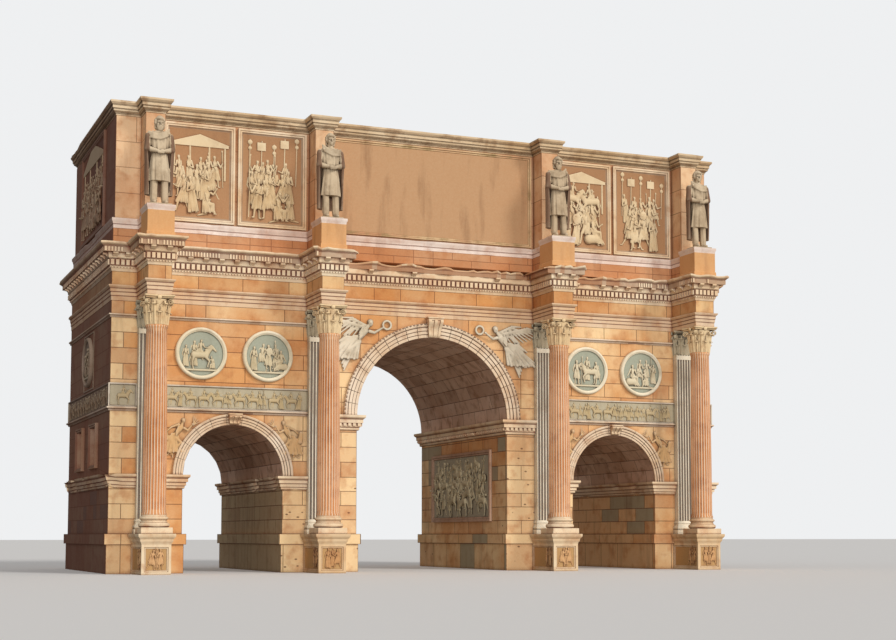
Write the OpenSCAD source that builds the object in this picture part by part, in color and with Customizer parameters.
// Three-bay triumphal arch with four columns on each long face, statues
// before the attic, and relief panels. Millimetres, +Z up, the front faces -Y,
// and the origin is at ground level in the middle of the plan.

/* [Body] */
// Width of the masonry, end wall to end wall
body_w = 25900; // [25000:100:28000]
// Depth of the masonry, front wall to back wall
body_d = 9600; // [8400:100:12000]

/* [Passages] */
// Radius of the central vault, half the passage's width
central_r = 3250; // [2900:50:3400]
// Height at which the central vault springs
central_spring_z = 6150; // [5800:50:6250]
// Radius of each side vault
side_r = 1950; // [1700:50:2050]
// Height at which the side vaults spring
side_spring_z = 3700; // [3300:50:3800]

/* [Plinth] */
// Height of the plinth and of the column pedestals
plinth_h = 1480; // [1300:20:1700]
// How far the plinth stands out from the wall
plinth_out = 60; // [40:10:100]
// Height of the capping on the plinth and pedestals
plinth_cap_h = 400; // [250:10:500]
// How far that capping stands out from the plinth
plinth_cap_out = 80; // [50:10:120]

/* [Imposts] */
// Height of the central imposts
central_impost_h = 600; // [400:10:800]
// How far the central imposts stand out
central_impost_out = 290; // [150:10:300]
// Height of the side imposts
side_impost_h = 520; // [300:10:700]
// How far the side imposts stand out
side_impost_out = 250; // [150:10:290]

/* [Archivolts] */
// Width of the moulded ring round the central arch
central_ring_w = 560; // [400:10:620]
// Width of the moulded ring round a side arch
side_ring_w = 400; // [300:10:450]
// How far the rings stand out from the wall
ring_out = 150; // [100:10:200]
// How far the keystones stand out from the wall
keystone_out = 360; // [260:10:420]
// Width of a keystone at its top
keystone_w = 700; // [500:10:800]

/* [Columns] */
// Axis of an inner column, from the middle of the arch
inner_column_x = 4900; // [4700:20:5100]
// Clear wall between an outer pilaster and the end of the masonry
corner_w = 1000; // [800:20:1200]
// Column axis, out from the wall
column_out = 1530; // [1450:10:1800]
// Width of a pedestal's core, inside its plinth
pedestal_w = 1080; // [1000:10:1150]
// Radius of a shaft at its foot
shaft_r = 430; // [380:5:450]
// Radius of a shaft at its neck
shaft_neck_r = 375; // [330:5:375]
// Height of a column base
base_h = 690; // [600:10:900]
// Side of a base's square plinth
base_w = 1160; // [1050:10:1180]
// Height of a capital
capital_h = 1080; // [900:10:1200]
// Side of a capital's abacus
abacus_w = 1120; // [1000:10:1160]
// Width of a pilaster
pilaster_w = 800; // [700:10:860]
// How far a pilaster stands out from the wall
pilaster_out = 300; // [290:5:400]

/* [Wall ornament] */
// Clear wall between the side rings and the lower string course
ring_gap = 10; // [5:5:60]
// Height of the lower string course
string_h = 140; // [100:10:200]
// How far the string courses stand out
string_out = 130; // [90:10:180]
// Height of the relief friezes
relief_h = 900; // [700:10:950]
// How far the relief friezes stand out
relief_out = 70; // [50:10:120]
// Outer radius of a roundel
roundel_r = 1000; // [850:10:1040]
// Width of a roundel's rim
roundel_rim = 130; // [80:10:180]
// How far a roundel's rim stands out
roundel_out = 150; // [100:10:200]
// Clear wall below and above a roundel
roundel_gap = 230; // [150:10:300]
// Height of the upper string course
upper_string_h = 140; // [80:10:200]
// Width of a blind window on an end wall
window_w = 1300; // [1000:50:1500]
// Height of a blind window
window_h = 1450; // [1200:50:1500]
// Depth of a blind window's recess
window_depth = 180; // [100:10:300]
// Width of a blind window's frame
window_frame = 150; // [80:10:180]
// Length of a relief panel in the central passage
passage_panel_w = 6600; // [5000:100:7200]
// Height of a relief panel in the central passage
passage_panel_h = 3000; // [2600:50:3400]

/* [Entablature] */
// Underside of the architrave
beam_z = 10200; // [10150:10:10400]
// Height of the architrave
architrave_h = 580; // [450:10:650]
// How far the architrave's top stands out
architrave_out = 130; // [80:10:180]
// Height of the frieze
frieze_h = 520; // [400:10:600]
// Height of the cornice
cornice_h = 1050; // [900:10:1300]
// How far the cornice overhangs
cornice_out = 500; // [400:10:560]
// Width of the block that breaks forward over a column
block_w = 880; // [780:10:950]

/* [Attic] */
// How far the attic wall stands back from the wall below
attic_inset = 80; // [20:10:150]
// Height of the attic's plinth
attic_plinth_h = 600; // [500:10:700]
// How far the attic's plinth stands out
attic_plinth_out = 60; // [30:10:80]
// Height of the sill under the panels
sill_h = 380; // [250:10:450]
// How far the sill stands out
sill_out = 120; // [90:10:160]
// Top of the attic cornice
attic_top_z = 17800; // [17600:50:18200]
// Height of the attic cornice
attic_cornice_h = 520; // [400:10:600]
// How far the attic cornice overhangs
attic_cornice_out = 260; // [200:10:330]
// Thickness of the attic walls
attic_wall_t = 1500; // [1000:50:2000]
// Width of an attic pier
attic_pier_w = 740; // [660:10:850]
// How far an attic pier stands out
attic_pier_out = 850; // [600:10:880]
// Thickness of the attic panels
panel_t = 110; // [80:10:160]
// Width of a panel's frame
panel_frame = 200; // [120:10:240]
// Width of an inscription tablet's frame
tablet_frame = 90; // [50:10:150]
// Clear wall above and below an attic panel
panel_gap = 60; // [30:10:120]
// Clear wall beside an attic panel
panel_side_gap = 130; // [60:10:200]

/* [Statues] */
// Height of a statue, sole to crown
statue_h = 3450; // [3000:50:3600]
// Height of a statue's pedestal
statue_base_h = 1200; // [1000:10:1300]
// Width of a statue's pedestal
statue_base_w = 1000; // [950:10:1080]

/* [Hidden] */
// Sides of the large arcs
arc_fn = 360;

// Colours, as the stones look in sunlight
ashlar = "#dfa468";
trim = "#ecd3a8";
pale = "#e6dcc6";
grey = "#b9b49c";
column_stone = "#e3a777";
attic_stone = "#e2ae77";

// Half sizes of the masonry and of the attic
hw = body_w / 2;
hd = body_d / 2;
attic_hw = hw - attic_inset;
attic_hd = hd - attic_inset;

// Outer columns stand in from the ends, and each side passage is midway between two columns
outer_column_x = hw - corner_w - pilaster_w / 2;
side_x = (inner_column_x + outer_column_x) / 2;

// Edges of the passages, and the line on which the central and side arches meet
side_in = side_x - side_r;
side_end = side_x + side_r;
meet_x = (central_r + side_in) / 2;
column_xs = [-outer_column_x, -inner_column_x, inner_column_x, outer_column_x];
sides = [-1, 1];

// Levels of the bands and roundels over the side arches
string_z = side_spring_z + side_r + side_ring_w + ring_gap;
relief_z = string_z + string_h;
roundel_z = relief_z + relief_h + roundel_gap + roundel_r;
upper_string_z = roundel_z + roundel_r + roundel_gap;

// Levels of the entablature and of the attic
frieze_z = beam_z + architrave_h;
cornice_z = frieze_z + frieze_h;
attic_z = cornice_z + cornice_h;
sill_z = attic_z + attic_plinth_h;
attic_wall_z = sill_z + sill_h;
attic_cornice_z = attic_top_z - attic_cornice_h;
block_out = column_out + block_w / 2;

// Profiles as [share of the height, share of the overhang], from the bottom up
architrave_profile = [[0.30, 0.15], [0.30, 0.42], [0.22, 0.70], [0.18, 1]];
cornice_profile = [[0.13, 0.12], [0.19, 0.26], [0.12, 0.38], [0.22, 0.72], [0.16, 0.86], [0.18, 1]];
attic_cornice_profile = [[0.22, 0.30], [0.26, 0.55], [0.30, 0.80], [0.22, 1]];
impost_profile = [[0.18, 0.25], [0.30, 0.50], [0.26, 0.80], [0.26, 1]];

// Height below one step of a profile, as a share
function below(profile, i) = i == 0 ? 0 : profile[i - 1][0] + below(profile, i - 1);
// A profile as layers [foot, height, overhang]
function layers(profile, z, h, out) = [
    for (i = [0 : len(profile) - 1])
        [z + h * below(profile, i), h * profile[i][0], out * profile[i][1]]
];
entablature_layers = concat(
    layers(architrave_profile, beam_z, architrave_h, architrave_out),
    [[frieze_z, frieze_h, 0]],
    layers(cornice_profile, cornice_z, cornice_h, cornice_out)
);
plinth_layers = [
    [0, plinth_h - plinth_cap_h, plinth_out],
    [plinth_h - plinth_cap_h, plinth_cap_h, plinth_out + plinth_cap_out]
];
attic_pier_layers = concat(
    [[attic_z, attic_plinth_h, attic_plinth_out], [sill_z, sill_h, sill_out]],
    [[attic_wall_z, attic_cornice_z - attic_wall_z, 0]],
    layers(attic_cornice_profile, attic_cornice_z, attic_cornice_h, attic_cornice_out)
);

// A box between two corners
module between(a, b) translate(a) cube(b - a);

// Children as drawn and again turned half round, for the back face
module both_faces() {
    children();
    rotate([0, 0, 180]) children();
}

// One face's children: the front as drawn, the back turned half round
module on_face(back) rotate([0, 0, back ? 180 : 0]) children();

// A rectangle of masonry in layers, each with its own overhang
module course(half_w, half_d, stack)
    for (layer = stack)
        between([-half_w - layer[2], -half_d - layer[2], layer[0]],
                [half_w + layer[2], half_d + layer[2], layer[0] + layer[1]]);

// A block that breaks forward from a front wall, in the same layers as that wall
module breakout(x, half_d, w, out, stack)
    translate([x, 0, 0]) for (layer = stack)
        between([-w / 2 - layer[2], -half_d - out - layer[2], layer[0]],
                [w / 2 + layer[2], -half_d - layer[2], layer[0] + layer[1]]);

// Children laid against a front wall: their XY becomes the wall's XZ, their Z comes out
module on_front(x, z, wall = hd) translate([x, -wall, z]) rotate([90, 0, 0]) children();
// The same against the right-hand end wall
module on_end(y, z, wall = hw) translate([wall, y, z]) rotate([90, 0, 90]) children();

// A framed slab, w by h, whose frame stands t out and whose field lies back
module framed_slab(w, h, frame, t) difference() {
    translate([-w / 2, 0, 0]) cube([w, h, t]);
    translate([-w / 2 + frame, frame, t / 2]) cube([w - 2 * frame, h - 2 * frame, t]);
}

// Piers, from the ground to where the arches spring
module pier_outer(side) color(ashlar) {
    a = min(side * side_end, side * hw);
    b = max(side * side_end, side * hw);
    between([a, -hd, 0], [b, hd, side_spring_z]);
    for (layer = plinth_layers)
        between([a - layer[2], -hd - layer[2], layer[0]],
                [b + layer[2], hd + layer[2], layer[0] + layer[1]]);
}

module pier_inner(side) color(ashlar) {
    a = min(side * central_r, side * side_in);
    b = max(side * central_r, side * side_in);
    between([a, -hd, 0], [b, hd, side_spring_z]);
    between([min(side * central_r, side * meet_x), -hd, side_spring_z],
            [max(side * central_r, side * meet_x), hd, central_spring_z]);
    for (layer = plinth_layers)
        between([a - layer[2], -hd - layer[2], layer[0]],
                [b + layer[2], hd + layer[2], layer[0] + layer[1]]);
}

// Wall and vault over a side passage, with the blind windows sunk in its end
module arch_side(side) color(ashlar) difference() {
    between([min(side * meet_x, side * hw), -hd, side_spring_z],
            [max(side * meet_x, side * hw), hd, beam_z]);
    translate([side * side_x, 0, side_spring_z]) rotate([90, 0, 0])
        cylinder(r = side_r, h = body_d + 200, center = true, $fn = arc_fn);
    for (s = sides)
        translate([side * hw, s * window_y, window_z + window_h / 2])
            cube([2 * window_depth, window_w, window_h], center = true);
}

// Wall and vault over the central passage
module arch_central() color(ashlar) difference() {
    between([-meet_x, -hd, central_spring_z], [meet_x, hd, beam_z]);
    translate([0, 0, central_spring_z]) rotate([90, 0, 0])
        cylinder(r = central_r, h = body_d + 200, center = true, $fn = arc_fn);
}

// An impost that wraps the passage side of a pier, from one pilaster to the other.
// It starts at the pilaster, reaches the passage's edge, and stands out on three sides.
module wrapped_impost(from_x, edge_x, stack) difference() {
    turn = edge_x > from_x ? 1 : -1;
    union() for (layer = stack) {
        reach = edge_x + turn * layer[2];
        between([min(from_x, reach), -hd - layer[2], layer[0]],
                [max(from_x, reach), hd + layer[2], layer[0] + layer[1]]);
    }
    between([min(from_x - turn, edge_x), -hd, stack[0][0] - 1],
            [max(from_x - turn, edge_x), hd, stack[0][0] + 2 * side_spring_z]);
}

module central_imposts() color(trim) for (s = sides)
    wrapped_impost(s * (inner_column_x - pilaster_w / 2), s * central_r,
        layers(impost_profile, central_spring_z - central_impost_h, central_impost_h, central_impost_out));

module side_imposts() {
    stack = layers(impost_profile, side_spring_z - side_impost_h, side_impost_h, side_impost_out);
    color(trim) for (s = sides) {
        wrapped_impost(s * (inner_column_x + pilaster_w / 2), s * side_in, stack);
        wrapped_impost(s * (outer_column_x - pilaster_w / 2), s * side_end, stack);
        for (layer = stack)
            between([s > 0 ? hw : -hw - layer[2], -hd, layer[0]],
                    [s > 0 ? hw + layer[2] : -hw, hd, layer[0] + layer[1]]);
    }
}

// A half ring of three fascias, the outer one standing out furthest
module archivolt(r, w) {
    fascias = 3;
    intersection() {
        for (i = [0 : fascias - 1]) difference() {
            out = ring_out * (i + fascias) / (2 * fascias - 1);
            cylinder(r = r + w * (i + 1) / fascias, h = out, $fn = arc_fn);
            translate([0, 0, -1]) cylinder(r = r + w * i / fascias, h = ring_out + 2, $fn = arc_fn);
        }
        translate([-r - w - 1, 0, -1]) cube([2 * (r + w + 1), r + w + 1, ring_out + 2]);
    }
}

// Outline of a keystone over an arch of radius r: its sides point at the arch's centre
module keystone_outline(r, top, w) {
    foot = r - 60;
    polygon([[-w / 2, top], [-w / 2 * foot / top, foot], [w / 2 * foot / top, foot], [w / 2, top]]);
}

module cut_archivolt(r, w, top, key_w) difference() {
    archivolt(r, w);
    translate([0, 0, -1]) linear_extrude(ring_out + 2) keystone_outline(r, top, key_w);
}

central_key_top = beam_z - central_spring_z;
side_key_top = string_z - side_spring_z;
side_keystone_w = keystone_w * 0.75;

module archivolts_central() color(trim) both_faces()
    on_front(0, central_spring_z) cut_archivolt(central_r, central_ring_w, central_key_top, keystone_w);

module archivolts_side() color(trim) both_faces() for (s = sides)
    on_front(s * side_x, side_spring_z) cut_archivolt(side_r, side_ring_w, side_key_top, side_keystone_w);

module keystone(r, top, w) linear_extrude(keystone_out) keystone_outline(r, top, w);

module keystones() color(pale) both_faces() {
    on_front(0, central_spring_z) keystone(central_r, central_key_top, keystone_w);
    for (s = sides) on_front(s * side_x, side_spring_z) keystone(side_r, side_key_top, side_keystone_w);
}

// Horizontal bands between the pilasters of a side bay, and round each end
bay_in = inner_column_x + pilaster_w / 2;
bay_out = outer_column_x - pilaster_w / 2;
corner_in = outer_column_x + pilaster_w / 2;

module band(z, h, out) {
    both_faces() for (s = sides)
        between([min(s * bay_in, s * bay_out), -hd - out, z], [max(s * bay_in, s * bay_out), -hd, z + h]);
    for (s = sides) difference() {
        between([min(s * corner_in, s * (hw + out)), -hd - out, z],
                [max(s * corner_in, s * (hw + out)), hd + out, z + h]);
        between([min(s * (corner_in - 1), s * hw), -hd, z - 1],
                [max(s * (corner_in - 1), s * hw), hd, z + h + 1]);
    }
}

module string_courses() color(trim) {
    band(string_z, string_h, string_out);
    band(upper_string_z, upper_string_h, string_out * 0.7);
}

module relief_friezes() color(grey) band(relief_z, relief_h, relief_out);

// A round dish with a raised rim
module roundel() rotate_extrude($fn = 72)
    polygon([
        [0, 0], [roundel_r, 0], [roundel_r, roundel_out * 0.6], [roundel_r - roundel_rim * 0.4, roundel_out],
        [roundel_r - roundel_rim, roundel_out], [roundel_r - roundel_rim, roundel_out * 0.4],
        [0, roundel_out * 0.4]
    ]);

// The two roundels of a bay, with the same clear wall beside and between them
roundel_side_gap = (bay_out - bay_in - 4 * roundel_r) / 3;
roundel_pitch = 2 * roundel_r + roundel_side_gap;

module roundels() color(pale) {
    both_faces() for (s = sides, t = sides)
        on_front(s * side_x + t * roundel_pitch / 2, roundel_z) roundel();
    both_faces() on_end(0, roundel_z) roundel();
}

window_y = body_d / 6;
window_z = side_spring_z + window_frame + (string_z - side_spring_z - 2 * window_frame - window_h) / 2;

module blind_window_frames() color(trim) both_faces() for (s = sides)
    on_end(s * window_y, window_z) difference() {
        translate([-window_w / 2 - window_frame, -window_frame, 0])
            cube([window_w + 2 * window_frame, window_h + 2 * window_frame, string_out]);
        translate([-window_w / 2, 0, -1]) cube([window_w, window_h, string_out + 2]);
    }

// The long relief panels that face each other across the central passage
module passage_panels() {
    foot = plinth_h + (central_spring_z - central_impost_h - plinth_h - passage_panel_h) / 2;
    color(grey) for (s = sides)
        translate([s * central_r, 0, foot]) rotate([90, 0, -90 * s])
            framed_slab(passage_panel_w, passage_panel_h, panel_frame, panel_t);
}

// Pedestals, which run back to the plinth behind them
module pedestals(back) color(trim) on_face(back) for (x = column_xs)
    breakout(x, hd, pedestal_w, column_out + pedestal_w / 2, plinth_layers);

// Column base: square plinth, two rolls with a hollow between, and a fillet
module column_base() {
    slab = base_h * 0.34;
    roll = base_h * 0.24;
    hollow = base_h * 0.16;
    small_roll = base_h * 0.16;
    lip = base_h - slab - roll - hollow - small_roll;
    step = roll * 0.25;
    wide = base_w / 2 - roll / 2;
    narrow = shaft_r + step;
    translate([-base_w / 2, -base_w / 2, 0]) cube([base_w, base_w, slab]);
    translate([0, 0, slab]) rotate_extrude($fn = 64) union() {
        square([wide, roll]);
        translate([wide, roll / 2]) circle(r = roll / 2, $fn = 32);
        translate([0, roll]) square([wide - step, hollow]);
        translate([0, roll + hollow]) square([narrow, small_roll]);
        translate([narrow, roll + hollow + small_roll / 2]) circle(r = small_roll / 2, $fn = 32);
        translate([0, roll + hollow + small_roll]) square([narrow, lip]);
    }
}

module column_bases(back) color(trim) on_face(back) for (x = column_xs)
    translate([x, -hd - column_out, plinth_h]) column_base();

module column_shafts(back) {
    foot = plinth_h + base_h;
    h = beam_z - capital_h - foot;
    flare = shaft_r * 0.2;
    color(column_stone) on_face(back) for (x = column_xs)
        translate([x, -hd - column_out, foot]) rotate_extrude($fn = 64)
            polygon([
                [0, 0], [shaft_r * 1.08, 0], [shaft_r, flare], [shaft_r, h / 3],
                [shaft_neck_r, h - 2 * flare], [shaft_neck_r * 1.12, h - flare],
                [shaft_neck_r * 1.12, h], [0, h]
            ]);
}

// Capital: a bell that widens in two tiers of leaves, under a square abacus
module capital(neck, side, h) {
    slab = h * 0.13;
    spread = side / 2 - neck;
    rotate_extrude($fn = 48) polygon([
        [0, 0], [neck, 0], [neck + spread * 0.38, h * 0.36], [neck + spread * 0.05, h * 0.38],
        [neck + spread * 0.65, h * 0.68], [neck + spread * 0.22, h * 0.70],
        [neck + spread * 0.78, h - slab], [0, h - slab]
    ]);
    translate([-side / 2, -side / 2, h - slab]) cube([side, side, slab]);
}

module capitals(back) color(trim) on_face(back) for (x = column_xs)
    translate([x, -hd - column_out, beam_z - capital_h]) capital(shaft_neck_r, abacus_w, capital_h);

// Pilasters behind the columns: base, shaft and capital against the wall
module pilasters(back) {
    spread = 90;
    foot = base_h * 0.8;
    color(grey) on_face(back) for (x = column_xs) translate([x, 0, 0]) {
        between([-pilaster_w / 2 - spread, -hd - pilaster_out - spread, plinth_h],
                [pilaster_w / 2 + spread, -hd, plinth_h + foot]);
        between([-pilaster_w / 2, -hd - pilaster_out, plinth_h + foot],
                [pilaster_w / 2, -hd, beam_z - capital_h]);
        hull() {
            between([-pilaster_w / 2, -hd - pilaster_out, beam_z - capital_h],
                    [pilaster_w / 2, -hd, beam_z - capital_h / 2]);
            between([-pilaster_w / 2 - spread, -hd - pilaster_out - spread, beam_z - capital_h * 0.14],
                    [pilaster_w / 2 + spread, -hd, beam_z]);
        }
    }
}

// Entablature: three courses through the whole mass, and blocks over the columns
module architrave_course() color(trim)
    course(hw, hd, layers(architrave_profile, beam_z, architrave_h, architrave_out));

module frieze_course() color(ashlar) course(hw, hd, [[frieze_z, frieze_h, 0]]);

module cornice_course() color(trim)
    course(hw, hd, layers(cornice_profile, cornice_z, cornice_h, cornice_out));

module entablature_blocks(back) color(trim) on_face(back) for (x = column_xs)
    breakout(x, hd, block_w, block_out, entablature_layers);

// Attic: plinth and sill, four walls round a closed chamber, and a flat stone roof
module attic_plinth() color(pale)
    course(attic_hw, attic_hd, [[attic_z, attic_plinth_h, attic_plinth_out], [sill_z, sill_h, sill_out]]);

module attic_long_wall(back) color(attic_stone) on_face(back)
    between([-attic_hw, -attic_hd, attic_wall_z], [attic_hw, -attic_hd + attic_wall_t, attic_cornice_z]);

module attic_end_wall(side) color(attic_stone) rotate([0, 0, side > 0 ? 0 : 180])
    between([attic_hw - attic_wall_t, -attic_hd + attic_wall_t, attic_wall_z],
            [attic_hw, attic_hd - attic_wall_t, attic_cornice_z]);

module attic_roof() color(trim) course(attic_hw, attic_hd,
    layers(attic_cornice_profile, attic_cornice_z, attic_cornice_h, attic_cornice_out));

module attic_piers(back) color(attic_stone) on_face(back) for (x = column_xs)
    breakout(x, attic_hd, attic_pier_w, attic_pier_out, attic_pier_layers);

panel_z = attic_wall_z + panel_gap;
panel_h = attic_cornice_z - attic_wall_z - 2 * panel_gap;

module inscription_tablets() {
    w = 2 * (inner_column_x - attic_pier_w / 2 - panel_side_gap);
    color(pale) both_faces() on_front(0, panel_z, attic_hd)
        framed_slab(w, panel_h, tablet_frame, panel_t);
}

// Two relief panels in each side bay of the attic, and one on each end
module attic_panels() {
    bay_w = outer_column_x - inner_column_x - attic_pier_w;
    w = (bay_w - 3 * panel_side_gap) / 2;
    end_w = body_d * 0.55;
    color(grey) {
        both_faces() for (s = sides, t = sides)
            on_front(s * side_x + t * (w + panel_side_gap) / 2, panel_z, attic_hd)
                framed_slab(w, panel_h, panel_frame, panel_t);
        both_faces() on_end(0, panel_z, attic_hw) framed_slab(end_w, panel_h, panel_frame, panel_t);
    }
}

// Statues stand on pedestals above the entablature blocks, before the attic piers
statue_y = -hd - column_out;
module statue_pedestals() {
    cap = 160;
    lip = 40;
    back_y = -attic_hd - attic_pier_out - sill_out;
    color(pale) both_faces() for (x = column_xs) translate([x, 0, attic_z]) {
        between([-statue_base_w / 2, statue_y - statue_base_w / 2, 0],
                [statue_base_w / 2, back_y, statue_base_h - cap]);
        between([-statue_base_w / 2 - lip, statue_y - statue_base_w / 2 - lip, statue_base_h - cap],
                [statue_base_w / 2 + lip, back_y, statue_base_h]);
    }
}

// Flat oval at a height, for the hulls that make up a statue: shares of its height
module oval(z, x, y, rx, ry)
    translate([x * statue_h, y * statue_h, z * statue_h]) scale([rx, ry, 1] * statue_h)
        cylinder(r = 1, h = 0.004, $fn = 14);

module knob(p, r) translate(p * statue_h) sphere(r = r * statue_h, $fn = 10);

// Standing figure in tunic and cloak with its hands joined before it, in shares of its height
module statue() {
    for (s = sides) hull() {
        oval(0, s * 0.062, -0.03, 0.038, 0.07);
        oval(0.26, s * 0.05, 0, 0.05, 0.055);
    }
    hull() {
        oval(0.22, 0, 0, 0.125, 0.085);
        oval(0.56, 0, -0.005, 0.095, 0.068);
    }
    hull() {
        oval(0.55, 0, -0.005, 0.095, 0.068);
        oval(0.76, 0, 0.005, 0.118, 0.068);
        oval(0.83, 0, 0.01, 0.06, 0.05);
    }
    hull() {
        oval(0.12, 0, 0.06, 0.13, 0.035);
        oval(0.80, 0, 0.05, 0.12, 0.04);
    }
    for (s = sides) {
        hull() {
            knob([s * 0.125, 0, 0.77], 0.036);
            knob([s * 0.145, -0.03, 0.62], 0.033);
        }
        hull() {
            knob([s * 0.145, -0.03, 0.62], 0.033);
            knob([0, -0.1, 0.60], 0.028);
        }
    }
    hull() {
        oval(0.81, 0, 0.005, 0.04, 0.04);
        oval(0.87, 0, 0, 0.036, 0.038);
    }
    hull() {
        knob([0, -0.005, 0.945], 0.054);
        knob([0, -0.012, 0.90], 0.042);
    }
}

module statues(back) color(grey) on_face(back) for (x = column_xs)
    translate([x, statue_y, attic_z + statue_base_h]) intersection() {
        statue();
        translate([-statue_h, -statue_h, 0]) cube([2 * statue_h, 2 * statue_h, statue_h]);
    }

pier_outer(-1);  // pier_outer_left
pier_inner(-1);  // pier_inner_left
pier_inner(1);  // pier_inner_right
pier_outer(1);  // pier_outer_right
arch_side(-1);  // arch_side_left
arch_central();
arch_side(1);  // arch_side_right
central_imposts();
side_imposts();
archivolts_central();
archivolts_side();
keystones();
string_courses();
relief_friezes();
roundels();
blind_window_frames();
passage_panels();
pedestals(false);  // pedestals_front
pedestals(true);  // pedestals_back
column_bases(false);  // column_bases_front
column_bases(true);  // column_bases_back
column_shafts(false);  // column_shafts_front
column_shafts(true);  // column_shafts_back
capitals(false);  // capitals_front
capitals(true);  // capitals_back
pilasters(false);  // pilasters_front
pilasters(true);  // pilasters_back
architrave_course();
frieze_course();
cornice_course();
entablature_blocks(false);  // entablature_blocks_front
entablature_blocks(true);  // entablature_blocks_back
attic_plinth();
attic_long_wall(false);  // attic_wall_front
attic_long_wall(true);  // attic_wall_back
attic_end_wall(-1);  // attic_wall_left
attic_end_wall(1);  // attic_wall_right
attic_roof();
attic_piers(false);  // attic_piers_front
attic_piers(true);  // attic_piers_back
inscription_tablets();
attic_panels();
statue_pedestals();
statues(false);  // statues_front
statues(true);  // statues_back
